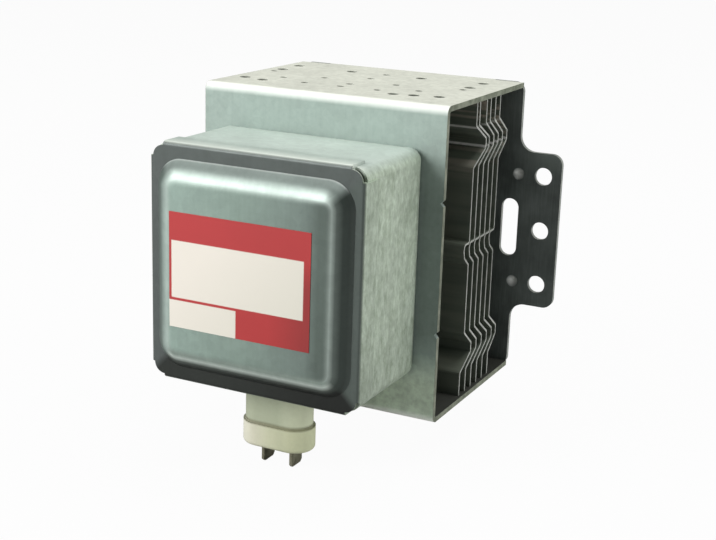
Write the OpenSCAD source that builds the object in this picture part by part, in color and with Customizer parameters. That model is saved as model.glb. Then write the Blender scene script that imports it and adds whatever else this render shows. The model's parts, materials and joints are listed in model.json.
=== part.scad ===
// Microwave-oven magnetron: tube, magnets and cooling fins in a folded yoke, with a filter box in front.
// X runs along the cooling air, Y from the filter box to the antenna and Z up.
// The origin is on the antenna's axis, at the outer face of the mounting plate.

/* [Yoke] */
// Width of the yoke along the cooling air
yoke_w = 80; // [76:0.5:90]
// Height of the yoke over its two legs
yoke_h = 95; // [93:0.5:110]
// Depth from the yoke's front face to the mounting face
yoke_d = 63; // [62:0.5:72]
// Thickness of the yoke's sheet
yoke_t = 1.6; // [1.2:0.1:2]
// Outer radius of the two front bends
yoke_bend_r = 2.4; // [2.2:0.1:5]
// Depth of the small notches in the side edges of the front plate
notch_depth = 1; // [0.5:0.1:2]
// Distance between the two notches of a side edge
notch_pitch = 39.4; // [20:0.2:60]
// Diameter of the larger dents in the legs
dent_d = 3.6; // [2:0.1:4.5]
// Diameter of the smaller dents in the legs
small_dent_d = 2.4; // [1.5:0.1:3]
// Depth of the dents
dent_depth = 0.8; // [0.3:0.1:1]
// Side offset of the pattern of dents
dent_shift = -2.5; // [-4:0.25:4]

/* [Mounting plate] */
// Thickness of the mounting plate
plate_t = 1.6; // [1.2:0.1:2]
// Radius of the plate's outer corners
plate_corner_r = 3; // [1:0.5:6]
// Width over both ears
ears_w = 109; // [107:0.5:118]
// Height of an ear
ear_h = 51; // [46:0.5:60]
// Radius of an ear's outer corners
ear_corner_r = 3.5; // [1:0.5:5]
// Radius of the fillets between an ear and the plate
ear_fillet_r = 5; // [1:0.5:6]
// Diameter of the six fixing holes
fix_hole_d = 5.8; // [4:0.1:7]
// Distance of the fixing holes from an ear's outer edge
fix_edge = 6; // [5:0.5:8]
// Distance from one fixing hole to the next in an ear
fix_pitch_z = 18; // [15:0.5:19]
// Distance of a slot inside the fixing holes
slot_in = 10.6; // [9.8:0.1:13]
// Width of a slot
slot_w = 5.8; // [4:0.1:7]
// Length of a slot
slot_l = 19.2; // [12:0.2:24]
// Distance of a dimple inside the fixing holes
dimple_in = 8.3; // [7.5:0.1:11]
// Diameter of a dimple
dimple_d = 4; // [2:0.2:5]
// Depth of a dimple
dimple_depth = 0.9; // [0.3:0.1:1]
// Width of the leg tabs that are staked into the plate
stake_tab_w = 60; // [30:1:70]

/* [Filter box] */
// Width of the box over its lid
box_w = 68; // [62:0.5:76]
// Height of the box over its lid
box_h = 70; // [66:0.5:80]
// Depth from the yoke's front face to the lid's rim
box_d = 38; // [36:0.5:48]
// Height of the box's centre above the antenna's axis
box_lift = 1; // [-2:0.25:3]
// Thickness of the box's and the lid's sheet
sheet_t = 0.8; // [0.6:0.05:1]
// Radius of the lid's upright corners
box_corner_r = 4.5; // [4:0.25:8]
// Outer radius of the bend round the back of the box
box_bend_r = 2; // [1.2:0.1:3]
// Length of the lid's skirt behind its rim
skirt_l = 8; // [4:0.5:14]
// Outer radius of the bend between the lid's flange and its skirt
lid_bend_r = 1.2; // [1.1:0.1:2]
// Width of the lid's flange at its sides, from its outer edge to the foot of the cushion panel
flange_w = 2.8; // [2.4:0.1:5]
// Width of the lid's flange at its top and bottom
flange_h = 4.4; // [2.4:0.1:6]
// Height of the cushion panel above the flange
cushion_rise = 3.7; // [3:0.1:5]
// Outer radius of the cushion panel's shoulder
shoulder_r = 8; // [3:0.1:9]
// Radius of the corners of the cushion panel's flat
flat_corner_r = 1; // [0.6:0.1:4]

/* [Label] */
// Distance of the label from the left edge of the panel's flat
label_left = -0.8; // [-0.8:0.1:10]
// Distance of the label from the right edge of the flat
label_right = 4; // [0:0.1:10]
// Distance of the label from the upper edge of the flat
label_top = 7.3; // [0:0.1:16]
// Distance of the label from the lower edge of the flat
label_bottom = 6.3; // [0:0.1:16]
// Thickness of the label
label_t = 0.15; // [0.1:0.05:0.4]

/* [Feedthrough capacitor] */
// Distance of the capacitor's axis from the yoke's front face
cap_out = 21.6; // [14:0.2:26]
// Length of the neck's oval
neck_l = 21.4; // [17:0.2:24]
// Width of the neck's oval
neck_w = 11; // [9:0.2:14]
// Height of the neck below the box
neck_h = 13.4; // [6:0.2:20]
// Length of the lower body's oval
case_l = 22.8; // [19:0.2:26]
// Width of the lower body's oval
case_w = 12.2; // [10:0.2:16]
// Height of the lower body
case_h = 7.8; // [4:0.2:12]
// Rounding of the lower body's edge
case_edge_r = 1.2; // [0.6:0.1:2]
// Depth of the groove between the neck and the lower body
case_groove = 0.5; // [0.2:0.1:1]
// Height of the moulded inner end above the earth plate
inner_case_h = 11; // [6:0.5:14]
// Thickness of the earth plate
earth_t = 0.8; // [0.5:0.1:1.2]
// Width of the earth plate
earth_w = 17; // [16:0.5:20]
// Length of the earth plate
earth_l = 40; // [38:0.5:46]

/* [Tab terminals] */
// Width of a tab
tab_w = 6.35; // [4.8:0.05:6.5]
// Thickness of a tab
tab_t = 0.8; // [0.5:0.1:1]
// Length of a tab below the case
tab_l = 6.3; // [5:0.1:9]
// Distance between the two tabs
tab_pitch = 9.4; // [8:0.1:10.5]
// Distance of the tabs' middles behind the capacitor's axis
tab_back = 1.8; // [0:0.1:1.8]
// Diameter of the rods that carry the current through the case
rod_d = 2.4; // [1.6:0.1:3]

/* [Fins] */
// Thickness of a fin
fin_t = 0.6; // [0.4:0.05:0.8]
// Distance from one fin to the next
fin_pitch = 4.1; // [3.9:0.05:4.6]
// Distance of the fin stack's middle behind the anode's middle
fin_shift = 3.05; // [2:0.05:4]
// Distance of the fins' side edges inside the yoke's side edges
fin_inset = 1; // [0.5:0.1:6]
// Length of the straight end of a fin next to the leg
fin_end_l = 7.4; // [5:0.1:9]
// Height of each slope of a corrugation
fin_slope_h = 4.8; // [4:0.1:6]
// Height of the crest of a corrugation
fin_crest_h = 3; // [1:0.1:4]
// Depth of a corrugation
fin_wave = 7; // [3:0.1:8]
// Radius of the bends in a fin's middle line
fin_bend_r = 0.8; // [0.5:0.05:0.85]
// Depth of the louvre at half height
louvre_depth = 4; // [2.5:0.1:4.2]
// Width of a louvre, from the fin's side edge inwards
louvre_w = 11; // [5:0.5:14]
// Length of the collar that grips the anode
collar_l = 3; // [1.5:0.1:3.2]

/* [Magnets] */
// Outer diameter of a ring magnet
magnet_d = 50; // [46:0.5:50]
// Inner diameter of a ring magnet
magnet_bore_d = 21; // [20.6:0.2:24]
// Thickness of a ring magnet
magnet_t = 13; // [10:0.5:13.5]

/* [Tube] */
// Outer diameter of the anode cylinder
anode_d = 40; // [38:0.5:42]
// Wall of the anode cylinder
anode_wall = 3; // [2:0.1:4]
// Number of vanes
vane_count = 10; // [8:2:12]
// Thickness of a vane
vane_t = 2; // [1.4:0.1:2.2]
// Length of a vane along the axis
vane_l = 9.5; // [8:0.1:11]
// Diameter of the circle at the vanes' inner ends
vane_tip_d = 9; // [8.8:0.1:9.6]
// Thickness of a strap ring along the axis
strap_t = 1; // [0.6:0.1:1.4]
// Width of a strap ring across its section
strap_w = 0.7; // [0.5:0.05:0.9]
// Thickness of a pole piece's rim
pole_t = 1.6; // [1.2:0.1:2]
// Distance of a pole piece's tip from the vanes
pole_gap = 1.6; // [1.4:0.1:2.2]
// Diameter of the hole in a pole piece
pole_hole_d = 9.4; // [8.4:0.1:10]
// Sheet of the two seal cups
cup_t = 0.5; // [0.4:0.05:0.7]
// Outer diameter of the seal cups' necks
cup_neck_d = 19.2; // [18:0.2:20]
// Length of the front neck past the yoke
front_neck_l = 3.4; // [2:0.1:6]
// Length of the rear neck past the mounting plate
rear_neck_l = 6.4; // [5.8:0.1:9]

/* [Cathode] */
// Outer diameter of the filament helix
filament_d = 3.9; // [3.4:0.1:4.4]
// Diameter of the filament wire
filament_wire_d = 0.5; // [0.4:0.05:0.6]
// Number of turns of the filament
filament_turns = 8; // [5:1:10]
// Diameter of the end hats
hat_d = 7.2; // [6:0.1:8]
// Thickness of an end hat
hat_t = 1; // [0.6:0.1:1.1]
// Diameter of the two leads
lead_d = 1.3; // [1:0.1:1.5]
// Distance between the leads in the stem
lead_pitch = 7; // [6:0.1:8]
// Outer diameter of the stem ceramic
stem_d = 15; // [14:0.2:16]
// Length of the stem ceramic
stem_l = 13; // [8:0.5:15]
// Diameter of a stem terminal's cap
stem_cap_d = 4.6; // [4:0.1:5]
// Length of a stem terminal's post
stem_post_l = 5; // [4:0.1:6]

/* [Antenna] */
// Outer diameter of the antenna ceramic
window_d = 16; // [15:0.2:17]
// Length of the antenna ceramic
window_l = 10; // [8:0.5:12]
// Outer diameter of the antenna cap
antenna_cap_d = 14.5; // [13.5:0.1:15]
// Length of the antenna cap
antenna_cap_l = 13; // [11:0.5:15]
// Outer diameter of the exhaust tube
exhaust_d = 6.4; // [5:0.1:7]
// Diameter of the antenna lead
antenna_lead_d = 2.4; // [1.8:0.1:2.6]
// Outer diameter of the woven gasket
gasket_d = 33; // [31:0.5:36]
// Height of the woven gasket above the mounting plate
gasket_h = 5; // [4:0.2:5.6]

/* [Chokes] */
// Diameter of a ferrite core
core_d = 4; // [3:0.1:4.4]
// Length of a ferrite core
core_l = 22; // [20:0.5:26]
// Diameter of the coil wire
choke_wire_d = 1.4; // [1:0.1:1.5]
// Number of turns of a coil
choke_turns = 10; // [6:1:11]
// Distance between the axes of the two coils
choke_pitch = 27; // [26:0.5:34]

/* [Hidden] */
$fn = 64;

// Clearances and the reach of a cut past a face
fit_gap = 0.05;
loose_gap = 0.3;
cut = 1;

// Steps in a turn of a wound wire, and sides of a thick wire
turn_steps = 12;
lead_sides = 12;

// Colours as seen
galvanised = [0.70, 0.76, 0.72];
bare_steel = [0.60, 0.62, 0.60];
aluminium = [0.72, 0.73, 0.72];
copper = [0.78, 0.46, 0.30];
ferrite = [0.20, 0.20, 0.21];
alumina = [0.93, 0.91, 0.86];
cream = [0.84, 0.83, 0.72];
tungsten = [0.40, 0.40, 0.42];

// Places along Y, from the filter box to the antenna
front_y = -yoke_d;
front_in_y = front_y + yoke_t;
plate_in_y = -plate_t;
rim_y = front_y - box_d;
anode_y0 = front_in_y + magnet_t + cup_t;
anode_y1 = plate_in_y - magnet_t - cup_t;
anode_mid = (anode_y0 + anode_y1) / 2;
stem_y1 = front_y - front_neck_l;
stem_y0 = stem_y1 - stem_l;
window_y0 = rear_neck_l;
window_y1 = window_y0 + window_l;

// Yoke and mounting plate
leg_in_z = yoke_h / 2 - yoke_t;
through_gap = 0.5;
through_hole_d = magnet_bore_d + 2 * through_gap;
stake_x = 26;
stake_z = 26;
stake_d = 4;
stake_head_d = 5.4;
stake_head_t = 0.5;
// Dents: side offset from the pattern's middle, distance from the front face, and diameter
dent_pairs = [[33, 15.8, dent_d], [25.6, 13.9, dent_d], [33, 39.2, dent_d], [33, 50.4, dent_d],
    [12.4, 48.7, dent_d], [12.4, 16.7, small_dent_d], [12.4, 29.9, small_dent_d], [23.3, 22.8, small_dent_d],
    [33, 33.8, small_dent_d]];
dent_singles = [[0, 16.7, small_dent_d], [0, 22.8, small_dent_d], [0, 37.6, small_dent_d],
    [0, 48.7, small_dent_d], [19.6, 12.6, dent_d]];
// Holes of an ear, and the ball that presses a dimple
fix_x = ears_w / 2 - fix_edge;
dimple_ball_r = (pow(dimple_d / 2, 2) + pow(dimple_depth, 2)) / (2 * dimple_depth);

// Filter box: the lid's skirt lies round the edge of the box's wall, which stands back at its corners
shell_inset = sheet_t + fit_gap;
corner_gap = 1.2;
shell_w = box_w - 2 * shell_inset;
shell_h = box_h - 2 * shell_inset;
shell_r = box_corner_r - shell_inset;
shell_y = rim_y + max(lid_bend_r, shell_inset);
floor_y = front_y - sheet_t;
wall_in_z = box_lift - shell_h / 2 + sheet_t;
wall_out_z = box_lift - shell_h / 2;
cushion_y = rim_y - cushion_rise;
cushion_w = box_w - 2 * flange_w;
cushion_h = box_h - 2 * flange_h;
// The flank rises at 45 degrees from the foot to the shoulder, and its run is held to a hundredth
shoulder_run = round(100 * (cushion_rise + (sqrt(2) - 1) * shoulder_r)) / 100;
shoulder_steps = 12;
foot_r = flat_corner_r + shoulder_run;
flat_w = cushion_w - 2 * shoulder_run;
flat_h = cushion_h - 2 * shoulder_run;

// Feedthrough capacitor
cap_y = front_y - cap_out;
step_z = wall_out_z - neck_h;
case_z = step_z - case_h;
earth_z = wall_in_z + earth_t;
rod_rise = 4;
rod_top_z = earth_z + inner_case_h + rod_rise;
earth_corner_r = 3;
rivet_x = (earth_l + neck_l) / 4;
rivet_d = 3;
rivet_head_d = 5;
rivet_head_t = 0.6;
inner_case_inset = 0.5;
inner_case_l = neck_l - 2 * inner_case_inset;
inner_case_w = neck_w - 2 * inner_case_inset;
tab_tip_w = 4.6;
tab_taper_h = 0.8;

// Fins
fin_edge_x = yoke_w / 2 - fin_inset;
fin_end_z = leg_in_z - fit_gap;
wave_z3 = leg_in_z - fin_end_l;
wave_z2 = wave_z3 - fin_slope_h;
wave_z1 = wave_z2 - fin_crest_h;
wave_z0 = wave_z1 - fin_slope_h;
fin_count = 6;
// Share of the pitch by which handling has bent each fin's upper end, upper crest, lower crest and lower end
fin_bends = [[0.15, 0.54, -0.22, -0.49], [-0.29, 0.17, -0.15, -0.34], [0.05, 0.1, -0.07, -0.2],
    [-0.17, 0, 0, -0.05], [-0.22, -0.1, 0.05, 0.1], [-0.24, -0.17, -0.05, 0.24]];
// A louvre's level ledge, the bulge of its face, the heel under it and its foot
louvre_ledge_z = 2.9;
louvre_bulge = 0.6;
louvre_bulge_z = 1;
louvre_heel = 0.7;
louvre_heel_z = -1.4;
louvre_foot_z = -3.9;

// Tube
anode_r = anode_d / 2;
anode_in_r = anode_r - anode_wall;
pole_seat_w = 1.2;
pole_r = anode_in_r + pole_seat_w;
pole_funnel_r = 12;
pole_tip_r = 7.6;
vane_y0 = anode_mid - vane_l / 2;
vane_y1 = anode_mid + vane_l / 2;
cup_inset = 0.5;
cup_flange_r = anode_r - cup_inset;
cup_neck_r = cup_neck_d / 2;
cup_lip_r = 6;
strap_inset = 1.6;
strap_spacing = 0.5;
inner_strap_r = vane_tip_d / 2 + strap_inset;
strap_r = [inner_strap_r, inner_strap_r + strap_w + strap_spacing];
strap_free_gap = 0.4;
hat_gap = 0.5;
hat_hole_gap = 0.4;
hat_hole_d = lead_d + 2 * hat_hole_gap;
side_lead_x = (hat_d - lead_d) / 2 - 2 * fit_gap;
lead_bend_in = 4;
lead_bend_y = front_in_y + magnet_t - lead_bend_in;
lead_bend_l = 5;
stem_post_d = 2;
stem_cap_t = 0.8;

// Antenna
exhaust_wall = 0.8;
exhaust_flange_t = 0.6;
exhaust_flange_inset = 0.5;
exhaust_l = 7;
pinch_l = 3.5;
pinch_t = 2 * exhaust_wall;
antenna_cap_t = 0.4;
antenna_cap_edge_r = 2.5;
window_wall = 2.5;
window_hole_d = window_d - 2 * window_wall;
antenna_lead_x = strap_r[1] + strap_w + antenna_lead_d / 2 + loose_gap;
antenna_neck_gap = 1.4;
antenna_neck_x = cup_neck_r - cup_t - antenna_lead_d / 2 - antenna_neck_gap;
antenna_bend_l = 4;
gasket_gap = 1;
gasket_bore_d = cup_neck_d + 2 * gasket_gap;
gasket_ring_t = 0.5;

// Chokes
choke_y = cap_y;
// The last half turn brings the wire to the side of the stem's posts
coil_turns = choke_turns + 0.5;
choke_r = (core_d + choke_wire_d) / 2 + loose_gap;
choke_step = choke_wire_d + loose_gap;
// The coils' lower ends meet the rods a little below their tops
rod_grip = 1.3;
choke_bottom_z = rod_top_z - rod_grip;
choke_top_z = choke_bottom_z + coil_turns * choke_step;

// A 2-D drawing in X and Z, from one place along Y to another
module along_y(y0, y1) {
    translate([0, y1, 0]) rotate([90, 0, 0]) linear_extrude(y1 - y0) children();
}

// A 2-D drawing in Y and Z, from one place along X to another
module along_x(x0, x1) {
    translate([x0, 0, 0]) rotate([90, 0, 90]) linear_extrude(x1 - x0) children();
}

// A 2-D drawing in X and Y, from one height to another
module along_z(z0, z1) {
    translate([0, 0, z0]) linear_extrude(z1 - z0) children();
}

// A body of revolution about Y: the drawing's X is the radius and its Y the place along Y
module about_y() {
    rotate([-90, 0, 0]) rotate_extrude() children();
}

module disc_y(d, y0, y1) {
    along_y(y0, y1) circle(d = d);
}

module ring_y(d, bore_d, y0, y1) {
    along_y(y0, y1) difference() {
        circle(d = d);
        circle(d = bore_d);
    }
}

module mirrored_x() {
    children();
    mirror([1, 0, 0]) children();
}

module mirrored_z() {
    children();
    mirror([0, 0, 1]) children();
}

module rounded_rect(w, h, r) {
    square([w - 2 * r, h], center = true);
    square([w, h - 2 * r], center = true);
    for (sx = [-1, 1], sz = [-1, 1])
        translate([sx * (w / 2 - r), sz * (h / 2 - r)]) circle(r);
}

// Oval with its long axis along X
module oval(l, w) {
    square([l - w, w], center = true);
    for (s = [-1, 1])
        translate([s * (l - w) / 2, 0]) circle(d = w);
}

// A section carried along the four sides of a rounded rectangle about Y, measured out from the corner centres
module rect_sides(w, h, r) {
    mirrored_x() translate([w / 2 - r, 0, 0]) linear_extrude(h - 2 * r, center = true) children();
    mirrored_z() translate([0, 0, h / 2 - r]) rotate([0, -90, 0])
        linear_extrude(w - 2 * r, center = true) children();
}

// The same section carried round its four corners
module rect_corners(w, h, r) {
    for (corner = [[1, -1, 0], [-1, -1, 90], [-1, 1, 180], [1, 1, 270]])
        translate([corner[0] * (w / 2 - r), 0, corner[1] * (h / 2 - r)]) rotate([0, corner[2], 0])
            rotate([-90, 0, 0]) rotate_extrude(angle = 90) children();
}

// Quarter of a ring with its centre at the origin, in the quadrant given by the two signs
module quarter_ring(r, t, sx, sy) {
    intersection() {
        difference() {
            circle(r);
            circle(r - t);
        }
        translate([sx > 0 ? 0 : -r, sy > 0 ? 0 : -r]) square(r);
    }
}

function unit(v) = v / norm(v);
function reversed(list) = [for (i = [len(list) - 1 : -1 : 0]) list[i]];

// Corners of a wire's section at each point of its route, for a route that never runs along the given axis
function wire_ring(route, i, d, sides, axis) =
    let (ahead = route[min(i + 1, len(route) - 1)],
         behind = route[max(i - 1, 0)],
         tangent = unit(ahead - behind),
         across = unit(cross(tangent, axis)),
         up = cross(across, tangent))
    [for (k = [0 : sides - 1])
        route[i] + d / 2 * (cos(360 * k / sides) * across + sin(360 * k / sides) * up)];

// A wire along the points of a route
module wire(route, d, axis, sides = 8) {
    count = len(route);
    corners = [for (i = [0 : count - 1]) each wire_ring(route, i, d, sides, axis)];
    walls = [for (i = [0 : count - 2], k = [0 : sides - 1])
        let (a = i * sides + k, b = i * sides + (k + 1) % sides)
        [a, b, b + sides, a + sides]];
    start = [for (k = [sides - 1 : -1 : 0]) k];
    finish = [for (k = [0 : sides - 1]) (count - 1) * sides + k];
    polyhedron(corners, concat([start], walls, [finish]));
}

// Both sides of a sheet of even thickness along a line of points, as one closed outline
function sheet_normal(line, i) =
    let (a = unit(line[max(i, 1)] - line[max(i, 1) - 1]),
         b = unit(line[min(i + 1, len(line) - 1)] - line[min(i, len(line) - 2)]),
         n = unit([-a[1] - b[1], a[0] + b[0]]))
    n / (n * [-a[1], a[0]]);
function sheet_outline(line, t) = concat(
    [for (i = [0 : len(line) - 1]) line[i] + t / 2 * sheet_normal(line, i)],
    [for (i = [len(line) - 1 : -1 : 0]) line[i] - t / 2 * sheet_normal(line, i)]);

// A line of points with each corner replaced by three points of a bend
function bend_points(a, b, c, r) =
    let (u = unit(a - b), v = unit(c - b), half = acos(u * v) / 2)
    [b + u * r / tan(half), b + unit(u + v) * (r / sin(half) - r), b + v * r / tan(half)];
function bent_line(line, r) = concat([line[0]],
    [for (i = [1 : len(line) - 2]) each bend_points(line[i - 1], line[i], line[i + 1], r)],
    [line[len(line) - 1]]);

// Yoke: front plate with a top and a bottom leg, staked to the plate behind and to the box in front
module yoke_section(inset) {
    r = yoke_bend_r - inset;
    y0 = front_y + inset;
    h = yoke_h - 2 * inset;
    translate([y0 + r, -h / 2]) square([plate_in_y + inset - y0 - r, h]);
    translate([y0, -h / 2 + r]) square([2 * r, h - 2 * r]);
    for (s = [-1, 1])
        translate([y0 + r, s * (h / 2 - r)]) circle(r);
}

module leg_dent(side, dent) {
    translate([side * dent[0] + dent_shift, front_y + dent[1], yoke_h / 2 - dent_depth])
        cylinder(d = dent[2], h = dent_depth + cut);
}

module yoke() {
    color(galvanised) {
        difference() {
            along_x(-yoke_w / 2, yoke_w / 2) difference() {
                yoke_section(0);
                yoke_section(yoke_t);
            }
            disc_y(through_hole_d, front_y - cut, front_in_y + cut);
            mirrored_x() mirrored_z()
                translate([yoke_w / 2, 0, notch_pitch / 2])
                    along_y(front_y - cut, front_in_y + cut) circle(notch_depth, $fn = 4);
            mirrored_z() {
                for (dent = dent_pairs, side = [-1, 1])
                    leg_dent(side, dent);
                for (dent = dent_singles)
                    leg_dent(1, dent);
            }
        }
        mirrored_z() translate([-stake_tab_w / 2, plate_in_y, leg_in_z]) cube([stake_tab_w, plate_t, yoke_t]);
        translate([0, 0, box_lift]) mirrored_x() mirrored_z() translate([stake_x, 0, stake_z]) {
            disc_y(stake_d, floor_y, front_y);
            disc_y(stake_head_d, floor_y - stake_head_t, floor_y);
        }
    }
}

// Mounting plate with its two ears
module plate_outline() {
    rounded_rect(yoke_w, yoke_h, plate_corner_r);
    rounded_rect(ears_w, ear_h, ear_corner_r);
    for (sx = [0, 1], sz = [0, 1])
        mirror([sx, 0]) mirror([0, sz]) translate([yoke_w / 2, ear_h / 2]) difference() {
            square(ear_fillet_r);
            translate([ear_fillet_r, ear_fillet_r]) circle(ear_fillet_r);
        }
}

module mounting_plate() {
    color(bare_steel) difference() {
        along_y(plate_in_y, 0) plate_outline();
        disc_y(through_hole_d, plate_in_y - cut, cut);
        mirrored_z() translate([-stake_tab_w / 2 - fit_gap, plate_in_y - cut, leg_in_z - fit_gap])
            cube([stake_tab_w + 2 * fit_gap, plate_t + 2 * cut, yoke_t + cut]);
        mirrored_x() {
            for (i = [-1 : 1])
                translate([fix_x, 0, i * fix_pitch_z]) disc_y(fix_hole_d, plate_in_y - cut, cut);
            translate([fix_x - slot_in, 0, 0]) along_y(plate_in_y - cut, cut) rotate(90) oval(slot_l, slot_w);
            for (i = [-1, 1])
                translate([fix_x - dimple_in, plate_in_y + dimple_depth - dimple_ball_r, i * fix_pitch_z])
                    sphere(dimple_ball_r);
        }
    }
}

// Filter box: drawn shell with its floor on the yoke's front plate
module shell_section(gap) {
    translate([shell_r - sheet_t, shell_y + gap]) square([sheet_t, front_y - box_bend_r - shell_y - gap]);
    translate([shell_r - box_bend_r, front_y - box_bend_r]) quarter_ring(box_bend_r, sheet_t, 1, 1);
    translate([0, floor_y]) square([shell_r - box_bend_r, sheet_t]);
}

module filter_box() {
    color(galvanised) difference() {
        translate([0, 0, box_lift]) {
            rect_sides(shell_w, shell_h, shell_r) shell_section(0);
            rect_corners(shell_w, shell_h, shell_r) shell_section(corner_gap);
            along_y(floor_y, front_y) square([shell_w - 2 * shell_r, shell_h - 2 * shell_r], center = true);
        }
        disc_y(through_hole_d, floor_y - cut, front_y + cut);
        translate([0, 0, box_lift]) mirrored_x() mirrored_z() translate([stake_x, 0, stake_z])
            disc_y(stake_d + 2 * fit_gap, floor_y - cut, front_y + cut);
        translate([0, cap_y, 0]) along_z(wall_out_z - cut, wall_in_z + cut)
            oval(neck_l + 2 * fit_gap, neck_w + 2 * fit_gap);
        mirrored_x() translate([rivet_x, cap_y, wall_out_z - cut])
            cylinder(d = rivet_d + 2 * fit_gap, h = sheet_t + 2 * cut);
    }
}

// Filter lid: flange round a sloped cushion panel, and a skirt flap along each side
module skirt_section() {
    translate([box_corner_r - lid_bend_r, rim_y + lid_bend_r]) quarter_ring(lid_bend_r, sheet_t, 1, -1);
    translate([box_corner_r - sheet_t, rim_y + lid_bend_r]) square([sheet_t, skirt_l - lid_bend_r]);
}

// Points of the cushion panel's shoulder, from the flat to the flank's 45 degrees
function shoulder_points(r) =
    [for (i = [0 : shoulder_steps])
        let (angle = 45 * i / shoulder_steps)
        [flat_corner_r + r * sin(angle), cushion_y + shoulder_r - r * cos(angle)]];

module cushion_section() {
    lap = flat_corner_r / 2;
    outer = shoulder_points(shoulder_r);
    inner = shoulder_points(shoulder_r - sheet_t);
    foot = [[foot_r, rim_y], [foot_r + lap, rim_y], [foot_r + lap, rim_y + sheet_t],
        [foot_r - (sqrt(2) - 1) * sheet_t, rim_y + sheet_t]];
    polygon(concat([[lap, cushion_y]], outer, foot, reversed(inner), [[lap, cushion_y + sheet_t]]));
}

module filter_lid() {
    color(galvanised) translate([0, 0, box_lift]) {
        rect_sides(box_w, box_h, box_corner_r) skirt_section();
        along_y(rim_y, rim_y + sheet_t) difference() {
            rounded_rect(box_w - 2 * lid_bend_r, box_h - 2 * lid_bend_r, box_corner_r - lid_bend_r);
            rounded_rect(cushion_w, cushion_h, foot_r);
        }
        rect_sides(cushion_w, cushion_h, foot_r) cushion_section();
        rect_corners(cushion_w, cushion_h, foot_r) cushion_section();
        along_y(cushion_y, cushion_y + sheet_t) rounded_rect(flat_w, flat_h, flat_corner_r);
    }
}

// Label: flat on the cushion panel
module label() {
    low = [label_left - flat_w / 2, label_bottom - flat_h / 2];
    size = [flat_w - label_left - label_right, flat_h - label_bottom - label_top];
    color([0.78, 0.25, 0.27]) translate([low[0], cushion_y - label_t, box_lift + low[1]])
        cube([size[0], label_t, size[1]]);
}

// Feedthrough capacitor: moulded case below the box, earth plate and moulded inner end inside it
module case_edge_oval() {
    r = case_edge_r;
    translate([0, 0, r]) linear_extrude(case_h - r) oval(case_l, case_w);
    linear_extrude(r) oval(case_l - 2 * r, case_w - 2 * r);
    for (s = [-1, 1]) {
        translate([0, s * (case_w / 2 - r), r]) rotate([0, 90, 0])
            cylinder(r = r, h = case_l - case_w, center = true);
        translate([s * (case_l - case_w) / 2, 0, r]) rotate_extrude()
            translate([case_w / 2 - r, 0]) circle(r);
    }
}

module capacitor_case() {
    color(cream) difference() {
        union() {
            translate([0, cap_y, case_z]) case_edge_oval();
            translate([0, cap_y, 0]) along_z(step_z, wall_in_z) oval(neck_l, neck_w);
        }
        translate([0, cap_y, 0]) along_z(step_z - case_groove, step_z) difference() {
            oval(case_l + cut, case_w + cut);
            oval(case_l - 2 * case_groove, case_w - 2 * case_groove);
        }
        mirrored_x() translate([tab_pitch / 2, cap_y, case_z - cut])
            cylinder(d = rod_d + 2 * fit_gap, h = wall_in_z - case_z + 2 * cut);
    }
}

module capacitor_plate() {
    color(bare_steel) translate([0, cap_y, 0]) along_z(wall_in_z, earth_z) difference() {
        rounded_rect(earth_l, earth_w, earth_corner_r);
        for (s = [-1, 1]) {
            translate([s * tab_pitch / 2, 0]) circle(d = rod_d + 2 * loose_gap);
            translate([s * rivet_x, 0]) circle(d = rivet_d + 2 * fit_gap);
        }
    }
}

module capacitor_inner_case() {
    color([0.25, 0.25, 0.24]) translate([0, cap_y, 0]) along_z(earth_z, earth_z + inner_case_h) difference() {
        oval(inner_case_l, inner_case_w);
        for (s = [-1, 1])
            translate([s * tab_pitch / 2, 0]) circle(d = rod_d + 2 * fit_gap);
    }
}

module capacitor_rivets() {
    color(bare_steel) mirrored_x() translate([rivet_x, cap_y, 0]) {
        translate([0, 0, wall_out_z - rivet_head_t]) cylinder(d = rivet_head_d, h = rivet_head_t);
        translate([0, 0, wall_out_z]) cylinder(d = rivet_d, h = earth_z - wall_out_z);
        translate([0, 0, earth_z]) cylinder(d = rivet_head_d, h = rivet_head_t);
    }
}

// Tab terminals: flat tab below the case, on a rod that passes up into the box
module tab_outline() {
    tip_z = case_z - tab_l;
    polygon([[-tab_w / 2, case_z], [-tab_w / 2, tip_z + tab_taper_h], [-tab_tip_w / 2, tip_z],
        [tab_tip_w / 2, tip_z], [tab_w / 2, tip_z + tab_taper_h], [tab_w / 2, case_z]]);
}

module terminal_tabs() {
    color([0.45, 0.44, 0.36]) mirrored_x() translate([tab_pitch / 2, cap_y, 0]) {
        translate([0, tab_back, 0]) along_x(-tab_t / 2, tab_t / 2) tab_outline();
        translate([0, 0, case_z]) cylinder(d = rod_d, h = rod_top_z - case_z);
    }
}

// Fins: corrugated sheets on the anode, with a louvre in each side edge
function wave_line(s, end_bend, crest_bend) = [[end_bend, s * fin_end_z], [end_bend, s * wave_z3],
    [fin_wave + crest_bend, s * wave_z2], [fin_wave + crest_bend, s * wave_z1], [0, s * wave_z0]];

louvre_line = [[0, louvre_ledge_z], [louvre_bulge - louvre_depth, louvre_ledge_z],
    [-louvre_depth, louvre_bulge_z], [louvre_heel - louvre_depth, louvre_heel_z], [0, louvre_foot_z]];

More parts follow.
